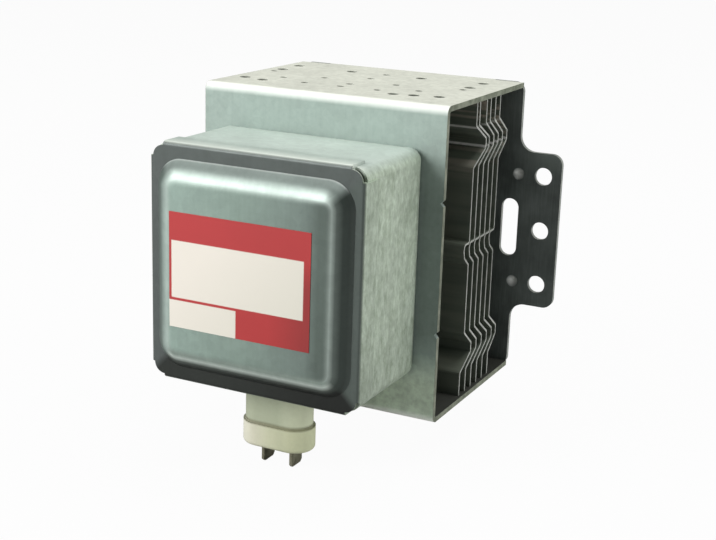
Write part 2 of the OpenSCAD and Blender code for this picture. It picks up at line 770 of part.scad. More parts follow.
module fin(number) {
    y = anode_mid + fin_shift + (number - (fin_count + 1) / 2) * fin_pitch;
    bends = fin_pitch * fin_bends[number - 1];
    upper = wave_line(1, bends[0], bends[1]);
    lower = reversed(wave_line(-1, bends[3], bends[2]));
    louvre_x = fin_edge_x - louvre_w;
    hole_r = anode_r + fit_gap;
    color(aluminium) translate([0, y, 0]) {
        difference() {
            union() {
                along_x(-louvre_x, louvre_x)
                    polygon(sheet_outline(bent_line(concat(upper, lower), fin_bend_r), fin_t));
                mirrored_x() along_x(louvre_x, fin_edge_x)
                    polygon(sheet_outline(bent_line(concat(upper, louvre_line, lower), fin_bend_r), fin_t));
                disc_y(2 * (hole_r + fin_t), -collar_l, fin_t / 2);
            }
            disc_y(2 * hole_r, -collar_l - cut, fin_t / 2 + cut);
        }
    }
}

// Ring magnets, one against each end plate
module front_magnet() {
    color(ferrite) ring_y(magnet_d, magnet_bore_d, front_in_y, front_in_y + magnet_t);
}

module rear_magnet() {
    color(ferrite) ring_y(magnet_d, magnet_bore_d, plate_in_y - magnet_t, plate_in_y);
}

// Anode: copper cylinder with a seat for a pole piece in each end
module anode_cylinder() {
    color(copper) difference() {
        ring_y(anode_d, 2 * anode_in_r, anode_y0, anode_y1);
        disc_y(2 * (pole_r + fit_gap), anode_y0 - cut, anode_y0 + pole_t);
        disc_y(2 * (pole_r + fit_gap), anode_y1 - pole_t, anode_y1 + cut);
    }
}

// Vanes: each strap rests on every second vane and passes clear of the others
module anode_vanes() {
    color(copper) for (i = [0 : vane_count - 1])
        difference() {
            intersection() {
                ring_y(2 * (anode_in_r - fit_gap), vane_tip_d, vane_y0, vane_y1);
                rotate([0, 360 * i / vane_count, 0])
                    translate([0, vane_y0 - cut, -vane_t / 2]) cube([anode_r, vane_l + 2 * cut, vane_t]);
            }
            for (k = [0, 1], end = [-1, 1]) {
                depth = strap_t + ((i + k) % 2 == 0 ? 0 : strap_free_gap);
                middle = end < 0 ? vane_y0 + (depth - cut) / 2 : vane_y1 - (depth - cut) / 2;
                ring_y(2 * (strap_r[k] + strap_w + fit_gap), 2 * (strap_r[k] - fit_gap),
                    middle - (depth + cut) / 2, middle + (depth + cut) / 2);
            }
        }
}

module strap_rings() {
    color(copper) for (k = [0, 1], y = [vane_y0, vane_y1 - strap_t])
        ring_y(2 * (strap_r[k] + strap_w), 2 * strap_r[k], y, y + strap_t);
}

// Pole pieces: funnels with their rims in the anode's ends and their tips beside the vanes
module pole_piece(end_y, side) {
    tip = vane_l / 2 + pole_gap;
    rim = side * (end_y - anode_mid);
    color(bare_steel) translate([0, anode_mid, 0]) about_y() polygon([
        [pole_r, side * rim], [pole_r, side * (rim - pole_t)],
        [pole_funnel_r + pole_t, side * (rim - pole_t)], [pole_tip_r, side * tip],
        [pole_hole_d / 2, side * tip], [pole_hole_d / 2, side * (tip + pole_t)],
        [pole_tip_r - pole_t / 2, side * (tip + pole_t)], [pole_funnel_r, side * rim]]);
}

module front_pole_piece() {
    pole_piece(anode_y0, -1);
}

module rear_pole_piece() {
    difference() {
        pole_piece(anode_y1, 1);
        translate([antenna_lead_x, 0, 0]) disc_y(antenna_lead_d + 2 * loose_gap, anode_mid, anode_y1 + cut);
    }
}

// Seal cups: flange against the anode, neck through the magnet and a lip at the ceramic
module seal_cup(flange_y, end_y, side) {
    neck_in_r = cup_neck_r - cup_t;
    color(bare_steel) about_y() polygon([
        [cup_flange_r, flange_y], [cup_flange_r, flange_y + side * cup_t],
        [cup_neck_r, flange_y + side * cup_t], [cup_neck_r, end_y],
        [cup_lip_r, end_y], [cup_lip_r, end_y - side * cup_t],
        [neck_in_r, end_y - side * cup_t], [neck_in_r, flange_y]]);
}

module front_seal_cup() {
    seal_cup(anode_y0, stem_y1, -1);
}

module rear_seal_cup() {
    seal_cup(anode_y1, window_y0, 1);
}

// Cathode: filament helix between two end hats, on two leads that run down into the stem
filament_y0 = vane_y0 - hat_gap;
filament_y1 = vane_y1 + hat_gap;
filament_r = (filament_d - filament_wire_d) / 2;
filament_steps = filament_turns * turn_steps;
filament_start_y = filament_y0 + filament_wire_d / 2 + fit_gap;
filament_rise = filament_y1 - filament_y0 - filament_wire_d - 2 * fit_gap;

module cathode_filament() {
    route = [for (i = [0 : filament_steps])
        let (angle = 360 * i / turn_steps)
        [filament_r * cos(angle), filament_start_y + filament_rise * i / filament_steps,
            filament_r * sin(angle)]];
    color(tungsten) wire(route, filament_wire_d, [0, 1, 0]);
}

module upper_end_hat() {
    color(tungsten) difference() {
        disc_y(hat_d, filament_y1, filament_y1 + hat_t);
        disc_y(lead_d + 2 * fit_gap, filament_y1 - cut, filament_y1 + hat_t + cut);
    }
}

module lower_end_hat() {
    color(tungsten) difference() {
        disc_y(hat_d, filament_y0 - hat_t, filament_y0);
        disc_y(hat_hole_d, filament_y0 - hat_t - cut, filament_y0 + cut);
    }
}

// A lead that leaves the cathode at one offset and enters the stem at another
module cathode_lead(top_x, top_y, stem_x) {
    color(tungsten) wire([[top_x, top_y, 0], [top_x, lead_bend_y, 0], [stem_x, lead_bend_y - lead_bend_l, 0],
        [stem_x, stem_y0 - stem_cap_t, 0]], lead_d, [0, 0, 1], lead_sides);
}

module centre_lead() {
    cathode_lead(0, filament_y1 + hat_t, -lead_pitch / 2);
}

module side_lead() {
    cathode_lead(side_lead_x, filament_y0 - hat_t, lead_pitch / 2);
}

// Stem: ceramic with two bores, and a brazed cap with a post over each lead
module stem_ceramic() {
    color(alumina) difference() {
        disc_y(stem_d, stem_y0, stem_y1);
        mirrored_x() translate([lead_pitch / 2, 0, 0])
            disc_y(lead_d + 2 * fit_gap, stem_y0 - cut, stem_y1 + cut);
    }
}

module stem_terminals() {
    color(bare_steel) mirrored_x() translate([lead_pitch / 2, 0, 0]) {
        ring_y(stem_cap_d, lead_d + 2 * fit_gap, stem_y0 - stem_cap_t, stem_y0);
        disc_y(stem_cap_d, stem_y0 - 2 * stem_cap_t, stem_y0 - stem_cap_t);
        disc_y(stem_post_d, stem_y0 - 2 * stem_cap_t - stem_post_l, stem_y0 - 2 * stem_cap_t);
    }
}

// Antenna: lead from one vane to the pinched exhaust tube, ceramic window and drawn cap
module antenna_lead() {
    color(copper) wire([[antenna_lead_x, vane_y1, 0], [antenna_lead_x, anode_y1 - antenna_bend_l, 0],
        [antenna_neck_x, anode_y1, 0], [0, window_y0, 0], [0, window_y1 + exhaust_l, 0]], antenna_lead_d,
        [0, 0, 1], lead_sides);
}

module antenna_ceramic() {
    color(alumina) ring_y(window_d, window_hole_d, window_y0, window_y1);
}

module exhaust_tube() {
    bore_d = exhaust_d - 2 * exhaust_wall;
    tube_y1 = window_y1 + exhaust_l;
    color(copper) {
        ring_y(window_d - 2 * exhaust_flange_inset, bore_d, window_y1, window_y1 + exhaust_flange_t);
        ring_y(exhaust_d, bore_d, window_y1 + exhaust_flange_t, tube_y1);
        translate([-exhaust_d / 2, tube_y1, -pinch_t / 2]) cube([exhaust_d, pinch_l, pinch_t]);
    }
}

module antenna_cap() {
    y0 = window_y1 + exhaust_flange_t;
    y1 = y0 + antenna_cap_l;
    r = antenna_cap_d / 2;
    color(bare_steel) about_y() {
        translate([r - antenna_cap_t, y0]) square([antenna_cap_t, antenna_cap_l - antenna_cap_edge_r]);
        translate([r - antenna_cap_edge_r, y1 - antenna_cap_edge_r])
            quarter_ring(antenna_cap_edge_r, antenna_cap_t, 1, 1);
        translate([0, y1 - antenna_cap_t]) square([r - antenna_cap_edge_r, antenna_cap_t]);
    }
}

// Gasket: woven ring round the neck, on the mounting plate, inside a pressed ring
module gasket() {
    width = (gasket_d - gasket_bore_d) / 2;
    middle_r = (gasket_d + gasket_bore_d) / 4;
    edge_r = 1.5;
    color([0.62, 0.60, 0.55]) about_y() translate([middle_r, gasket_ring_t + gasket_h / 2])
        rounded_rect(width, gasket_h, edge_r);
}

module gasket_ring() {
    lip_h = 1.6;
    color(bare_steel) {
        ring_y(gasket_d + 2 * (gasket_ring_t + fit_gap), gasket_bore_d, 0, gasket_ring_t);
        ring_y(gasket_d + 2 * (gasket_ring_t + fit_gap), gasket_d + 2 * fit_gap, gasket_ring_t,
            gasket_ring_t + lip_h);
    }
}

// Chokes: ferrite cores, and coils whose ends run to the stem's posts and to the capacitor's rods
module choke_cores() {
    color(ferrite) mirrored_x() translate([choke_pitch / 2, choke_y, (choke_bottom_z + choke_top_z) / 2])
        cylinder(d = core_d, h = core_l, center = true);
}

module choke_coils() {
    axis_x = choke_pitch / 2;
    post_x = lead_pitch / 2 + stem_post_d / 2 + loose_gap;
    post_y = stem_y0 - 2 * stem_cap_t - stem_post_l / 2;
    rod_x = tab_pitch / 2 + rod_d / 2 + loose_gap;
    lower_end = [[rod_x, choke_y, choke_bottom_z - choke_step / 2],
        [(rod_x + axis_x) / 2, choke_y - choke_r, choke_bottom_z - choke_step / 4]];
    turns = [for (i = [0 : coil_turns * turn_steps])
        let (angle = 360 * i / turn_steps)
        [axis_x + choke_r * sin(angle), choke_y - choke_r * cos(angle),
            choke_bottom_z + choke_step * i / turn_steps]];
    upper_end = [[(post_x + axis_x) / 2, choke_y + choke_r, choke_top_z / 2], [post_x, post_y, 0]];
    color(copper) mirrored_x() wire(concat(lower_end, turns, upper_end), choke_wire_d, [0, 0, 1]);
}

yoke();
mounting_plate();
filter_box();
filter_lid();
label();
capacitor_case();
capacitor_plate();
capacitor_inner_case();
capacitor_rivets();
terminal_tabs();
for (i = [1 : fin_count])
    fin(i);
front_magnet();
rear_magnet();
anode_cylinder();
anode_vanes();
strap_rings();
front_pole_piece();
rear_pole_piece();
front_seal_cup();
rear_seal_cup();
cathode_filament();
upper_end_hat();
lower_end_hat();
centre_lead();
side_lead();
stem_ceramic();
stem_terminals();
antenna_lead();
antenna_ceramic();
exhaust_tube();
antenna_cap();
gasket();
gasket_ring();
choke_cores();
choke_coils();
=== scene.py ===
"""Looks of the microwave-oven magnetron: materials, camera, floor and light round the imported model."""
import json
import math

import bpy
from mathutils import Matrix, Vector


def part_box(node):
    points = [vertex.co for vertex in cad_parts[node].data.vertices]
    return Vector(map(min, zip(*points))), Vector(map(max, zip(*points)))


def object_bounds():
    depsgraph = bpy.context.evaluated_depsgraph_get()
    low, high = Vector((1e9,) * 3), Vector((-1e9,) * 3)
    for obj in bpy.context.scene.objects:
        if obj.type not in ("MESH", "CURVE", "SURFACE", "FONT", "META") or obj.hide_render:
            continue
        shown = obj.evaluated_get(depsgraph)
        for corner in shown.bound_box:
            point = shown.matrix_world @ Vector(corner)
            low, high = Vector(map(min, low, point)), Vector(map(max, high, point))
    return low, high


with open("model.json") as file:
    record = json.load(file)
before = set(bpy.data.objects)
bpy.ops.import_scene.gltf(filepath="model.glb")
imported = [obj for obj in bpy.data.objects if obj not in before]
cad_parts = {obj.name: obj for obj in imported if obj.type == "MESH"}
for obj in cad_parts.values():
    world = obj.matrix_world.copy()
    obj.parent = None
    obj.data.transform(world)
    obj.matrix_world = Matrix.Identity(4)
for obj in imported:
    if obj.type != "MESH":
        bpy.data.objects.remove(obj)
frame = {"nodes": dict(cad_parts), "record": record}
cad_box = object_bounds()

MM = 0.001

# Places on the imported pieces, in millimetres
YOKE_HALF_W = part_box("yoke")[1][0] / MM
YOKE_HALF_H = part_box("yoke")[1][2] / MM
YOKE_FRONT_Y = -63.0
SHEET = 1.6
LEG_IN_Z = YOKE_HALF_H - SHEET
FIN_HALF_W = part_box("fin_1")[1][0] / MM
FIN_BEND_HIGH_Z = 37.8
FIN_BEND_LOW_Z = 31.2
BOX_TOP_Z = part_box("filter_box")[1][2] / MM
BOX_HALF_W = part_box("filter_box")[1][0] / MM
BOX_LIFT = 1.0
RIM_Y = -101.0
PANEL_HALF_W = 24.2
PANEL_HALF_H = 23.6
PANEL_RISE = 3.7
CASE_END_H = 7.8
CASE_STEP_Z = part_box("capacitor_case")[0][2] / MM + CASE_END_H
CASE_HALF_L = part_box("capacitor_case")[1][0] / MM
PLATE_T = 1.6
DIMPLE_X = 40.2
DIMPLE_Z = 18.0
DIMPLE_R = 2.0
DIMPLE_SHOWN_Y = -0.3

# Where the paint changes along a piece, in millimetres; most of these places bound painted shade and light
EDGE_DEPTH = 0.06
# Painted shadow of the filter box on the yoke's front plate
BOX_SHADE_X = BOX_HALF_W - 0.5
BOX_SHADE_TOP_Z = BOX_TOP_Z - 4.0
BOX_SHADE_LOW_Z = -27.0
FOOT_TOP_Z = -31.0
WALL_SHADE_Z = -15.0
FLANGE_SHADE_X = (-8.0, 22.0)
EAR_LIGHT_X = 45.0
EAR_LIGHT_Z = 22.0
FIN_STREAKS_Z = 27.0
RED_SHADE_X = 13.0
RED_SHADE_Z = 5.0

# Left, right, lower and upper edge of the label's white fields, in millimetres
WHITE_PANEL = (-24.2, 18.1, -7.5, 9.1)
WHITE_BOX = (-27.0, -3.1, -18.0, -8.3)
FIELD_EDGE = 0.12

# The part of its range in which a cloudy noise field varies most
CLOUD_LOW = 0.3
CLOUD_HIGH = 0.7

# Floor and world: sizes in metres, and shares of white
FLOOR_HALF = 6.0
FLOOR_DROP = 0.0002
FLOOR_GREY = 0.45
FLOOR_ROUGHNESS = 0.9
FLOOR_WHITE_SHARE = 0.96
WORLD_LIGHT = 0.16
WORLD_SHOWN = 1.0

# Name, place in metres, size in metres and power in watts of each lamp, and the point that they are aimed at
LAMPS = (
    ("key", (-0.62, -0.92, 0.45), 0.6, 14.5),
    ("top", (0.1, 0.1, 1.1), 0.8, 9.5),
    ("side", (1.0, 0.2, 0.3), 0.4, 5.5),
)
LAMP_TARGET = (0.0, -0.04, 0.0)

# Camera fitted to the photograph's points: place in millimetres, turns in degrees, focal length in pixels
IMAGE_WIDTH = 716
CAMERA_SPOT = (185.28, -411.52, 105.97)
CAMERA_DOWN = 15.78
CAMERA_TILT = 1.88
CAMERA_TURN = -26.22
FOCAL_PX = 1359.5
SENSOR_WIDTH = 36.0
CLIP_START = 0.01


# Colours

def linear(*levels):
    """A colour given in the 0 to 255 levels of a screen."""
    shares = (level / 255 for level in levels)
    return tuple(v / 12.92 if v <= 0.04045 else ((v + 0.055) / 1.055) ** 2.4 for v in shares)


def grey(share):
    """A grey as a share of white."""
    return (share, share, share)


def scaled(colour, factor):
    """A colour made brighter or darker, up to white."""
    return tuple(min(1.0, v * factor) for v in colour)


WHITE = grey(1.0)
YOKE_FRONT = linear(162, 178, 170)
# Painted light: a paler colour for the foot of the yoke's front, as if lit from the floor below
YOKE_FOOT_BOUNCE_LIGHT = linear(207, 224, 201)
# Painted light: the legs' warmer, paler tone stands in for warm light falling on top
YOKE_LEG_WARM_LIGHT = linear(203, 205, 193)
YOKE_BEND_HIGHLIGHT = linear(248, 251, 245)
# Painted shade inside the yoke
YOKE_INSIDE_SHADE = ((0.1, linear(52, 54, 48)), (0.4, linear(98, 102, 93)))
DENT_DARK_TONE = (linear(70, 74, 66), linear(112, 116, 106))
YOKE_EDGE_STEEL = (linear(94, 100, 86), linear(146, 151, 134))
BOX_TOP = linear(194, 207, 198)
BOX_RIM_HIGHLIGHT = linear(226, 234, 224)
BOX_WALL = linear(202, 216, 198)
BOX_PATCHES = ((0.36, (0.62, 0.64, 0.59)), (0.62, WHITE))
LID_COAT = grey(0.96)
PLATE_FACE = ((0.3, linear(76, 83, 80)), (0.7, linear(120, 128, 124)))
PLATE_DIMPLE_HIGHLIGHT = linear(250, 252, 247)
PLATE_EAR_LIGHT = linear(134, 144, 138)
PLATE_EDGE_STEEL = (linear(128, 133, 127), linear(172, 176, 168))
FIN_FACE_SHADE = ((0.35, linear(97, 106, 95)), (0.7, linear(121, 128, 114)))
FIN_STREAK_REFLECTION = linear(186, 178, 164)
FIN_GLINT = linear(252, 252, 248)
FIN_EDGE = ((0.3, linear(180, 183, 176)), (0.7, linear(214, 216, 209)))
CASE_SEAM_SHADE = linear(104, 103, 78)
CASE_WEAR = ((0.35, grey(0.92)), (0.65, WHITE))
GASKET_WIRE = ((0.2, linear(70, 66, 58)), (0.8, linear(190, 184, 170)))
LABEL_RED = ((0.0, linear(174, 46, 47)), (1.0, linear(166, 42, 42)))
LABEL_RED_SHADE = linear(140, 36, 35)
LABEL_WHITE = ((0.0, linear(222, 216, 205)), (1.0, linear(205, 203, 190)))
LABEL_CLOUDS = ((CLOUD_LOW, grey(0.94)), (CLOUD_HIGH, WHITE))

# Painted shade and highlights of the lid, from its flange, at 0, up the pressed flank to its panel, at 1:
# shade in the flange and flanks, highlights along the foot and the shoulder
LID_UPPER_PAINTED_LIGHT = (
    (0.0, linear(86, 93, 90)), (0.04, linear(200, 209, 204)), (0.14, linear(152, 164, 158)),
    (0.55, linear(132, 144, 138)), (0.8, linear(146, 159, 152)), (0.92, linear(164, 177, 170)),
)
LID_LOWER_PAINTED_LIGHT = (
    (0.0, linear(44, 48, 44)), (0.35, linear(56, 62, 57)), (0.62, linear(84, 92, 86)),
    (0.82, linear(192, 203, 195)), (0.92, linear(142, 156, 147)),
)
LID_LEFT_PAINTED_LIGHT = (
    (0.0, linear(88, 94, 92)), (0.05, linear(116, 124, 120)), (0.16, linear(98, 110, 104)),
    (0.6, linear(106, 120, 113)), (0.93, linear(172, 188, 180)),
)
LID_RIGHT_PAINTED_LIGHT = (
    (0.0, linear(84, 93, 88)), (0.08, linear(78, 87, 82)), (0.3, linear(62, 71, 66)),
    (0.6, linear(62, 71, 66)), (0.84, linear(98, 108, 102)), (0.95, linear(158, 170, 163)),
)

# Painted light across the lid's panel, which darkens to the right as a painted reflection, and along the
# moulded case, from left to right
LID_PANEL_REFLECTION = (
    (0.0, linear(150, 170, 160)), (0.45, linear(134, 152, 142)), (0.88, linear(116, 130, 123)),
    (0.96, linear(92, 104, 97)),
)
CASE_BODY_TONE_AND_SHADING = (
    (0.0, linear(214, 213, 199)), (0.25, linear(206, 204, 183)), (0.5, linear(192, 194, 165)),
    (0.68, linear(180, 183, 153)), (0.8, linear(190, 193, 160)), (0.93, linear(210, 214, 177)),
)
CASE_NECK_TINT_AND_SHADING = (
    (0.1, linear(166, 172, 148)), (0.6, linear(162, 169, 144)), (0.75, linear(176, 182, 156)),
    (0.9, linear(206, 212, 182)),
)


# Nodes of a material

def start_material(name):
    """A new material, its node tree and its Principled shader."""
    material = bpy.data.materials.new(name)
    material.use_nodes = True
    tree = material.node_tree
    return material, tree, tree.nodes["Principled BSDF"]


def add(tree, kind, **values):
    """A new node with the given properties and input values."""
    node = tree.nodes.new(kind)
    for key, value in values.items():
        if key in node.inputs:
            node.inputs[key].default_value = value
        else:
            setattr(node, key, value)
    return node


def place(tree, scale=(1.0, 1.0, 1.0), rotation=(0.0, 0.0, 0.0)):
    """The row's own coordinates in metres, stretched and turned."""
    coordinate = add(tree, "ShaderNodeTexCoord")
    mapping = add(tree, "ShaderNodeMapping")
    mapping.inputs["Scale"].default_value = scale
    mapping.inputs["Rotation"].default_value = rotation
    tree.links.new(coordinate.outputs["Object"], mapping.inputs["Vector"])
    return mapping.outputs["Vector"]


def axes_of(tree):
    """The row's own X, Y and Z in metres."""
    coordinate = add(tree, "ShaderNodeTexCoord")
    axes = add(tree, "ShaderNodeSeparateXYZ")
    tree.links.new(coordinate.outputs["Object"], axes.inputs["Vector"])
    return axes.outputs["X"], axes.outputs["Y"], axes.outputs["Z"]


def noise(tree, vector, scale, detail, rough=0.5):
    """A noise field from 0 to 1."""
    node = add(tree, "ShaderNodeTexNoise", Scale=scale, Detail=detail, Roughness=rough)
    tree.links.new(vector, node.inputs["Vector"])
    return node.outputs["Fac"]


def cells(tree, vector, scale):
    """A random value for each cell of a Voronoi pattern."""
    node = add(tree, "ShaderNodeTexVoronoi", Scale=scale)
    tree.links.new(vector, node.inputs["Vector"])
    parts = add(tree, "ShaderNodeSeparateColor")
    tree.links.new(node.outputs["Color"], parts.inputs["Color"])
    return parts.outputs["Red"]


def math_node(tree, operation, a, b):
    """Two values, links or numbers, joined by an operation."""
    node = add(tree, "ShaderNodeMath", operation=operation)
    for socket, value in zip(node.inputs, (a, b)):
        if isinstance(value, (int, float)):
            socket.default_value = value
        else:
            tree.links.new(value, socket)
    return node.outputs["Value"]


def remap(tree, value, low, high, to_low, to_high):
    """A value spread from one range over another, and held at its ends."""
    node = add(tree, "ShaderNodeMapRange", clamp=True)
    for name, number in (("From Min", low), ("From Max", high), ("To Min", to_low), ("To Max", to_high)):
        node.inputs[name].default_value = number
    tree.links.new(value, node.inputs["Value"])
    return node.outputs["Result"]


def ramp(tree, value, *stops):
    """Colours along a value."""
    node = add(tree, "ShaderNodeValToRGB")
    elements = node.color_ramp.elements
    for position, _ in stops[2:]:
        elements.new(position)
    for element, (position, colour) in zip(elements, sorted(stops)):
        element.position = position
        element.color = (*colour, 1.0)
    tree.links.new(value, node.inputs["Fac"])
    return node.outputs["Color"]


def mix(tree, factor, a, b, blend="MIX"):
    """Two colours, links or tuples, mixed by a factor."""
    node = add(tree, "ShaderNodeMix", data_type="RGBA", blend_type=blend, clamp_factor=True)
    for name, value in (("Factor_Float", factor), ("A_Color", a), ("B_Color", b)):
        socket = next(s for s in node.inputs if s.identifier == name)
        if isinstance(value, tuple):
            socket.default_value = (*value, 1.0)
        elif isinstance(value, (int, float)):
            socket.default_value = value
        else:
            tree.links.new(value, socket)
    return next(s for s in node.outputs if s.identifier == "Result_Color")


def times(tree, colour, layer):
    """A colour multiplied by another one."""
    return mix(tree, 1.0, colour, layer, "MULTIPLY")


def shares_of(tree, a, share, b):
    """A share of one value, and the rest of another."""
    return math_node(tree, "ADD", both_of(tree, a, share), both_of(tree, b, 1.0 - share))


def roughen(tree, shader, cloud, smooth, rough):
    """Roughness of a shader that follows a cloudy field."""
    tree.links.new(remap(tree, cloud, CLOUD_LOW, CLOUD_HIGH, smooth, rough), shader.inputs["Roughness"])


def bump(tree, shader, height, strength, distance):
    """A bump on a shader from a height field."""
    node = add(tree, "ShaderNodeBump", Strength=strength, Distance=distance)
    tree.links.new(height, node.inputs["Height"])
    tree.links.new(node.outputs["Normal"], shader.inputs["Normal"])


# Masks from places

def size_of(tree, value):
    """A value without its sign."""
    return math_node(tree, "ABSOLUTE", value, 0.0)


def above(tree, value, limit, soft=0.03):
    """1 where a value in metres is above a limit in millimetres, and 0 below it."""
    return remap(tree, value, (limit - soft) * MM, (limit + soft) * MM, 0.0, 1.0)


def below(tree, value, limit, soft=0.03):
    """1 where a value in metres is below a limit in millimetres, and 0 above it."""
    return remap(tree, value, (limit - soft) * MM, (limit + soft) * MM, 1.0, 0.0)


def band(tree, value, middle, half):
    """1 at a place in millimetres, and 0 farther from it than half the band's width."""
    from_middle = size_of(tree, math_node(tree, "SUBTRACT", value, middle * MM))
    return remap(tree, from_middle, 0.4 * half * MM, half * MM, 1.0, 0.0)


def both_of(tree, a, b):
    """The product of two masks, or of a mask and a number."""
    return math_node(tree, "MULTIPLY", a, b)


def either_of(tree, a, b):
    """The larger of two masks."""
    return math_node(tree, "MAXIMUM", a, b)


def inside(tree, x, z, low_x, high_x, low_z, high_z):
    """1 inside a rectangle given in millimetres, and 0 outside it."""
    across = both_of(tree, above(tree, x, low_x, FIELD_EDGE), below(tree, x, high_x, FIELD_EDGE))
    upright = both_of(tree, above(tree, z, low_z, FIELD_EDGE), below(tree, z, high_z, FIELD_EDGE))
    return both_of(tree, across, upright)


# Steel

def zinc_marks(tree):
    """Soft clouds and upright rolling streaks, which all zinc-coated faces of a piece share."""
    cloud = noise(tree, place(tree), 45, detail=4, rough=0.6)
    streak = noise(tree, place(tree, (900, 900, 40)), 1.0, detail=2)
    return cloud, streak


def zinc(tree, marks, colour, blotch, mottle):
    """Colour of zinc-coated sheet: soft blotches, fine mottling, faint spangle and rolling streaks."""
    cloud, streak = marks
    around = place(tree)
    fine = noise(tree, around, 520, detail=3, rough=0.6)
    spangle = cells(tree, around, 420)
    darker = scaled(colour, 1 - blotch)
    lighter = scaled(colour, 1 + blotch)
    base = ramp(tree, cloud, (0.25, darker), (0.5, colour), (0.75, lighter))
    specks = ramp(tree, fine, (0.32, grey(1 - 2 * mottle)), (0.62, WHITE))
    grain = ramp(tree, spangle, (0.0, grey(0.93)), (1.0, WHITE))
    lines = ramp(tree, streak, (0.3, grey(0.95)), (0.7, WHITE))
    for layer in (specks, grain, lines):
        base = times(tree, base, layer)
    return base


def zinc_relief(tree, marks):
    """Height field of the zinc coat."""
    cloud, streak = marks
    return math_node(tree, "ADD", streak, cloud)


def cut_steel(tree, dark, light):
    """Colour of bare cut or shaded steel."""
    return ramp(tree, noise(tree, place(tree), 240, detail=4, rough=0.6), (0.3, dark), (0.7, light))


def yoke_front(tree, marks, x, z):
    """Colour of the yoke's front plate: cold, with the filter box's shadow painted beside it and its foot
    painted paler as light from below.
    """
    front = zinc(tree, marks, YOKE_FRONT, blotch=0.08, mottle=0.04)
    # Painted shadow: beside the filter box the front plate is painted darker, as the box's shadow.
    at_box = below(tree, size_of(tree, z), BOX_SHADE_TOP_Z, soft=11.0)
    beside_box = both_of(tree, above(tree, x, BOX_SHADE_X, soft=1.5), at_box)
    shaded = both_of(tree, beside_box, above(tree, z, BOX_SHADE_LOW_Z, soft=7.0))
    front = mix(tree, shaded, front, times(tree, front, grey(0.62)))
    # Painted light: the foot of the front plate is paler, standing in for light thrown up from the floor;
    # its stronger mottling is the zinc's own.
    foot = zinc(tree, marks, YOKE_FOOT_BOUNCE_LIGHT, blotch=0.10, mottle=0.12)
    return mix(tree, below(tree, z, FOOT_TOP_Z, soft=5.0), front, foot)


def galvanised_yoke(name):
    """Zinc-coated yoke: legs and front plate tinted by painted warm and cool light, a painted highlight
    along the front bends, painted shade inside, darker dents, and dark cut edges.
    """
    material, tree, shader = start_material(name)
    x, y, z = axes_of(tree)
    height = size_of(tree, z)
    marks = zinc_marks(tree)
    # Painted light: both legs take a warmer, paler tone than the front plate of the same sheet, as if warm
    # light fell on top and cool light on the front.
    on_leg = above(tree, height, YOKE_HALF_H - 0.9, soft=0.9)
    leg = zinc(tree, marks, YOKE_LEG_WARM_LIGHT, blotch=0.07, mottle=0.06)
    colour = mix(tree, on_leg, yoke_front(tree, marks, x, z), leg)
    # Painted highlight: a near-white band along the bends between the front plate and the legs.
    near_leg = above(tree, height, YOKE_HALF_H - 1.5, soft=1.3)
    bend_highlight = both_of(tree, near_leg, below(tree, y, YOKE_FRONT_Y + 1.5, soft=1.3))
    colour = mix(tree, bend_highlight, colour, YOKE_BEND_HIGHLIGHT)
    # The dents in the legs are painted darker.
    sunk = below(tree, height, YOKE_HALF_H - 0.2, soft=0.15)
    in_dent = both_of(tree, sunk, above(tree, y, YOKE_FRONT_Y + 2.7))
    colour = mix(tree, in_dent, colour, cut_steel(tree, *DENT_DARK_TONE))
    # Painted shade: the yoke's inner faces are painted dark, darkest towards the bottom, as the shade inside
    # it.
    behind_front = above(tree, y, YOKE_FRONT_Y + SHEET - 0.1)
    inner_face = both_of(tree, behind_front, below(tree, height, LEG_IN_Z + 0.1))
    upwards = remap(tree, z, -40 * MM, 0.0, 0.0, 1.0)
    colour = mix(tree, inner_face, colour, ramp(tree, upwards, *YOKE_INSIDE_SHADE))
    edge = above(tree, size_of(tree, x), YOKE_HALF_W - EDGE_DEPTH)
    colour = mix(tree, edge, colour, cut_steel(tree, *YOKE_EDGE_STEEL))
    tree.links.new(colour, shader.inputs["Base Color"])
    front_rough = remap(tree, marks[0], CLOUD_LOW, CLOUD_HIGH, 0.64, 0.76)
    rough = math_node(tree, "ADD", front_rough, both_of(tree, on_leg, 0.16))
    tree.links.new(rough, shader.inputs["Roughness"])
    tree.links.new(remap(tree, on_leg, 0.0, 1.0, 0.2, 0.06), shader.inputs["Metallic"])
    tree.links.new(remap(tree, on_leg, 0.0, 1.0, 0.5, 0.1), shader.inputs["Specular IOR Level"])
    bump(tree, shader, zinc_relief(tree, marks), 0.08, 0.0002)
    return material


def box_zinc(tree, marks, y, z):
    """Colour of the drawn box: cold and even on its top, with a painted highlight towards the rim, and
    mottled on its walls, which are painted darker towards the bottom as shade.
    """
    top = zinc(tree, marks, BOX_TOP, blotch=0.05, mottle=0.03)
    # Painted highlight: the top grows brighter towards its front rim.
    top = mix(tree, below(tree, y, RIM_Y + 3.0, soft=3.0), top, BOX_RIM_HIGHLIGHT)
    wall = zinc(tree, marks, BOX_WALL, blotch=0.10, mottle=0.07)
    patch = noise(tree, place(tree, (1.0, 1.0, 0.45)), 560, detail=6, rough=0.75)
    wall = times(tree, wall, ramp(tree, patch, *BOX_PATCHES))
    # Painted shade: the walls are painted darker towards the bottom.
    wall = mix(tree, below(tree, z, WALL_SHADE_Z, soft=9.0), wall, times(tree, wall, grey(0.8)))
    return mix(tree, above(tree, z, BOX_TOP_Z - 1.2, soft=1.2), wall, top)


def galvanised_box(name):
    """Zinc-coated filter box."""
    material, tree, shader = start_material(name)
    shader.inputs["Metallic"].default_value = 0.35
    _, y, z = axes_of(tree)
    marks = zinc_marks(tree)
    tree.links.new(box_zinc(tree, marks, y, z), shader.inputs["Base Color"])
    roughen(tree, shader, marks[0], 0.46, 0.6)
    bump(tree, shader, zinc_relief(tree, marks), 0.10, 0.0002)
    return material


